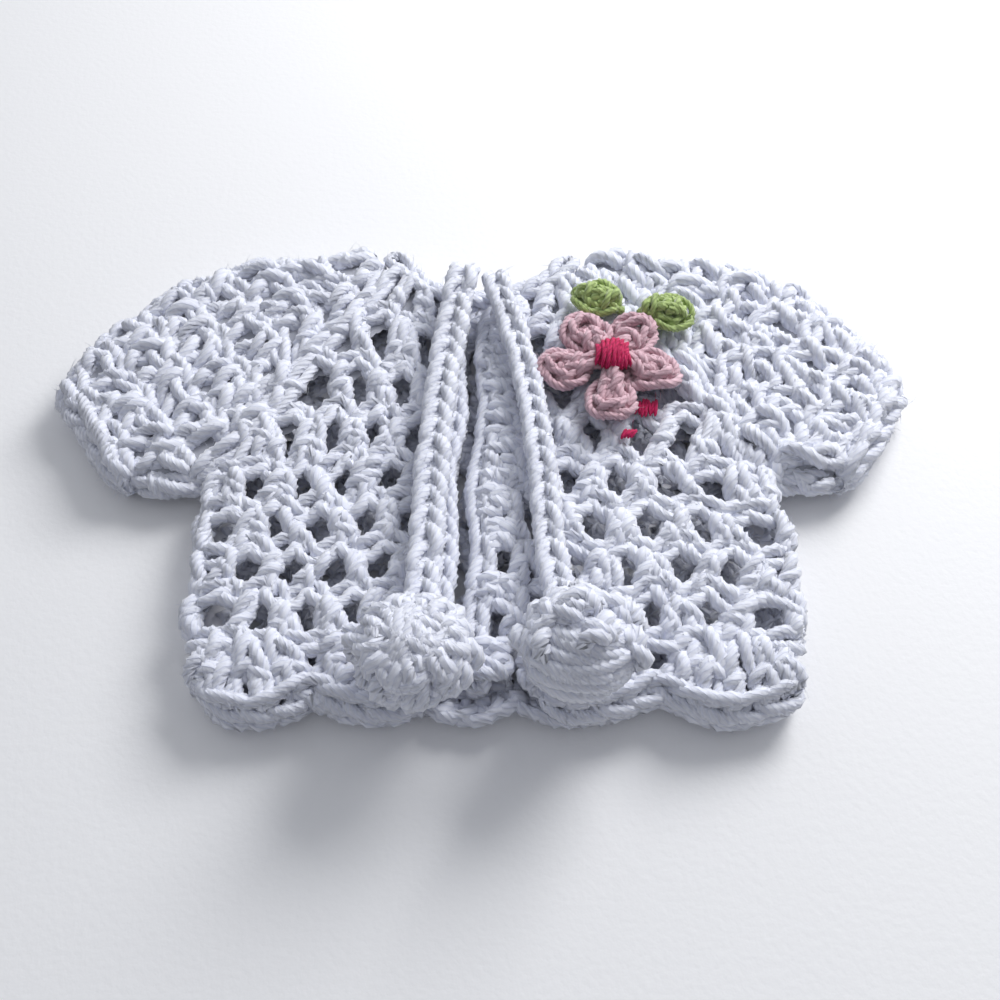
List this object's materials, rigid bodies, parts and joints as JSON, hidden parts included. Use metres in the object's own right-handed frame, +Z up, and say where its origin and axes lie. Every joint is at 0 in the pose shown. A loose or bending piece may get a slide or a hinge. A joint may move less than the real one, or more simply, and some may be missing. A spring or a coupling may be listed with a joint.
{
  "type": "crochet sweater",
  "caption": "White crocheted cotton cardigan of a doll's size, laid flat, with short sleeves, a tied neck with bobbles and a pink flower",
  "frame": {"origin": "centre of the bounding box at its lowest point, under the back", "axes": "X runs from sleeve to sleeve, Y from the hem (-Y) to the neck (+Y), Z up from the surface that the back lies on"},
  "size_m": [0.1404, 0.0907, 0.0208],
  "materials": {
    "white_cotton": "crocheted white cotton yarn",
    "pink_cotton": "crocheted pink cotton yarn",
    "crimson_floss": "satin-stitched crimson floss",
    "green_cotton": "crocheted green cotton yarn"
  },
  "bodies": {
    "root": {"back_panel": "white_cotton", "hem_shells_back": "white_cotton", "neck_edging": "white_cotton", "front_left": "white_cotton", "front_right": "white_cotton", "sleeve_left_upper": "white_cotton", "sleeve_left_under": "white_cotton", "sleeve_right_upper": "white_cotton", "sleeve_right_under": "white_cotton", "front_band_left": "white_cotton", "front_band_right": "white_cotton", "cuff_edging_left": "white_cotton", "cuff_edging_right": "white_cotton", "hem_shells_left": "white_cotton", "hem_shells_right": "white_cotton", "tie_left": "white_cotton", "tie_right": "white_cotton", "bobble_left": "white_cotton", "bobble_right": "white_cotton", "petal_1": "pink_cotton", "petal_2": "pink_cotton", "petal_3": "pink_cotton", "petal_4": "pink_cotton", "petal_5": "pink_cotton", "flower_middle": "crimson_floss", "leaf_1": "green_cotton", "leaf_2": "green_cotton"}
  },
  "joints": []
}
